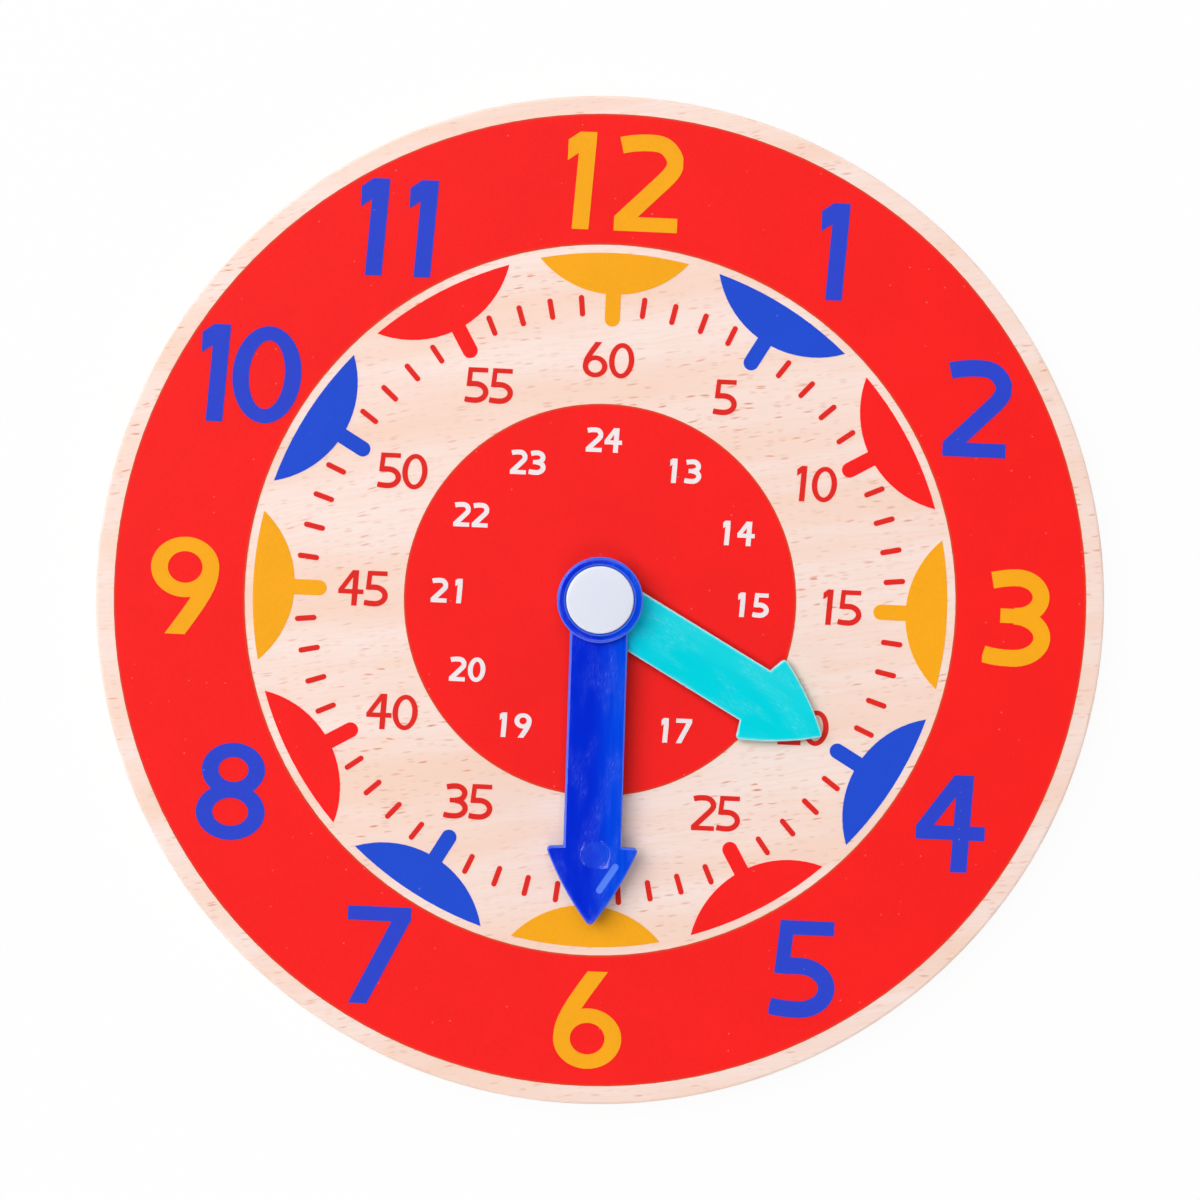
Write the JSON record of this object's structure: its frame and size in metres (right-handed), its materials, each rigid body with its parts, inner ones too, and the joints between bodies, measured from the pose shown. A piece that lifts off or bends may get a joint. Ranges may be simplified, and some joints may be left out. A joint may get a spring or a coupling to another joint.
{
  "type": "teaching clock",
  "caption": "Round wooden board printed as a clock dial with hour, minute and 24-hour numerals, and separate plastic hour and minute hands that turn on a snap rivet.",
  "frame": {"origin": "centre of the board's flat back face, on the pivot's axis", "axes": "+Z out of the dial along the pivot, +Y towards the 12, +X towards the 3"},
  "size_m": [0.142, 0.142, 0.0106],
  "materials": {
    "beech_plywood": "sanded, thin matt varnish",
    "red_ink": "screen-printed, satin",
    "yellow_ink": "screen-printed, satin",
    "blue_ink": "screen-printed, satin",
    "white_ink": "screen-printed, satin",
    "white_plastic": "moulded, semi-gloss",
    "clear_plastic": "moulded, natural",
    "turquoise_plastic": "moulded, semi-gloss",
    "blue_plastic": "moulded, semi-gloss"
  },
  "bodies": {
    "dial": {"dial_board": "beech_plywood", "hour_ring": "red_ink", "centre_disc": "red_ink", "red_markers": "red_ink", "minute_ticks": "red_ink", "minute_numerals": "red_ink", "yellow_markers": "yellow_ink", "yellow_hour_numerals": "yellow_ink", "blue_markers": "blue_ink", "blue_hour_numerals": "blue_ink", "day_numerals": "white_ink", "rivet_pin": "white_plastic", "rivet_socket": "white_plastic", "dial_washer": "clear_plastic"},
    "hour_hand": {"hour_hand": "turquoise_plastic"},
    "minute_hand": {"minute_hand": "blue_plastic"}
  },
  "joints": [
    {"name": "hour_hand_turn", "type": "hinge", "parent": "dial", "child": "hour_hand", "pos_m": [0, 0, 0.0064], "axis": [0, 0, 1], "continuous": true},
    {"name": "minute_hand_turn", "type": "hinge", "parent": "dial", "child": "minute_hand", "pos_m": [0, 0, 0.0085], "axis": [0, 0, 1], "continuous": true}
  ]
}
